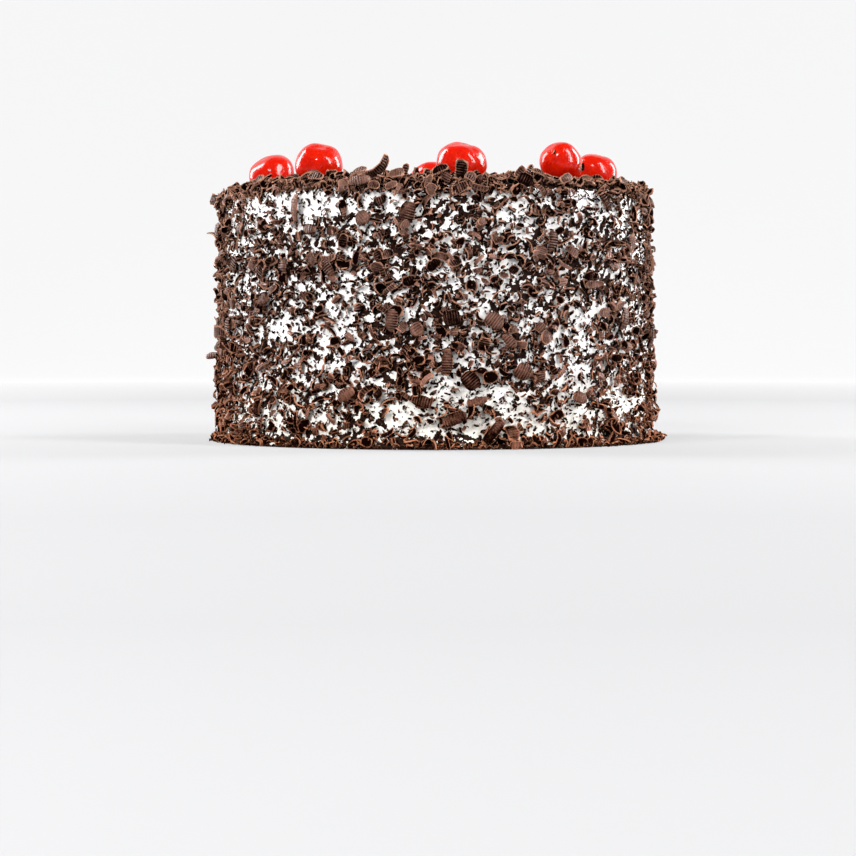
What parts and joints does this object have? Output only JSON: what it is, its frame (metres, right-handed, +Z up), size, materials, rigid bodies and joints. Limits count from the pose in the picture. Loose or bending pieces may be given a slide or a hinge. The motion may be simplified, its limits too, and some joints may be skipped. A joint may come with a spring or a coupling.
{
  "type": "black forest cake",
  "caption": "Tall round cake coated in whipped cream and dark chocolate shavings, with a ring of glazed red cherries pressed into its top.",
  "frame": {"origin": "centre of the cake's flat foot, on the surface that it stands on", "axes": "+Z up along the cake's axis; -Y is the front; +X is to the right as seen from the front"},
  "size_m": [0.2036, 0.2023, 0.13],
  "materials": {
    "cream_and_shavings": "white whipped cream under a coat of fine dark chocolate shavings",
    "glazed_cherry": "glossy red syrup glaze over translucent fruit",
    "dark_chocolate": "satin dark chocolate with fine ridges left by the blade"
  },
  "bodies": {
    "root": {"cake": "cream_and_shavings", "cherry_1": "glazed_cherry", "cherry_2": "glazed_cherry", "cherry_3": "glazed_cherry", "cherry_4": "glazed_cherry", "cherry_5": "glazed_cherry", "cherry_6": "glazed_cherry", "cherry_7": "glazed_cherry", "cherry_8": "glazed_cherry", "side_curl_01": "dark_chocolate", "side_curl_02": "dark_chocolate", "side_curl_03": "dark_chocolate", "side_curl_04": "dark_chocolate", "side_curl_05": "dark_chocolate", "side_curl_06": "dark_chocolate", "side_curl_07": "dark_chocolate", "side_curl_08": "dark_chocolate", "side_curl_09": "dark_chocolate", "side_curl_10": "dark_chocolate", "side_curl_11": "dark_chocolate", "side_curl_12": "dark_chocolate", "side_curl_13": "dark_chocolate", "side_curl_14": "dark_chocolate", "side_curl_15": "dark_chocolate", "side_curl_16": "dark_chocolate", "side_curl_17": "dark_chocolate", "side_curl_18": "dark_chocolate", "side_curl_19": "dark_chocolate", "side_curl_20": "dark_chocolate", "side_curl_21": "dark_chocolate", "side_curl_22": "dark_chocolate", "side_curl_23": "dark_chocolate", "side_curl_24": "dark_chocolate", "side_curl_25": "dark_chocolate", "side_curl_26": "dark_chocolate", "side_curl_27": "dark_chocolate", "side_curl_28": "dark_chocolate", "side_curl_29": "dark_chocolate", "side_curl_30": "dark_chocolate", "side_curl_31": "dark_chocolate", "side_curl_32": "dark_chocolate", "side_curl_33": "dark_chocolate", "side_curl_34": "dark_chocolate", "side_curl_35": "dark_chocolate", "side_curl_36": "dark_chocolate", "side_curl_37": "dark_chocolate", "side_curl_38": "dark_chocolate", "side_curl_39": "dark_chocolate", "side_curl_40": "dark_chocolate", "side_curl_41": "dark_chocolate", "side_curl_42": "dark_chocolate", "top_curl_1": "dark_chocolate", "top_curl_2": "dark_chocolate", "top_curl_3": "dark_chocolate", "top_curl_4": "dark_chocolate", "top_curl_5": "dark_chocolate", "top_curl_6": "dark_chocolate", "top_curl_7": "dark_chocolate", "top_curl_8": "dark_chocolate"}
  },
  "joints": []
}
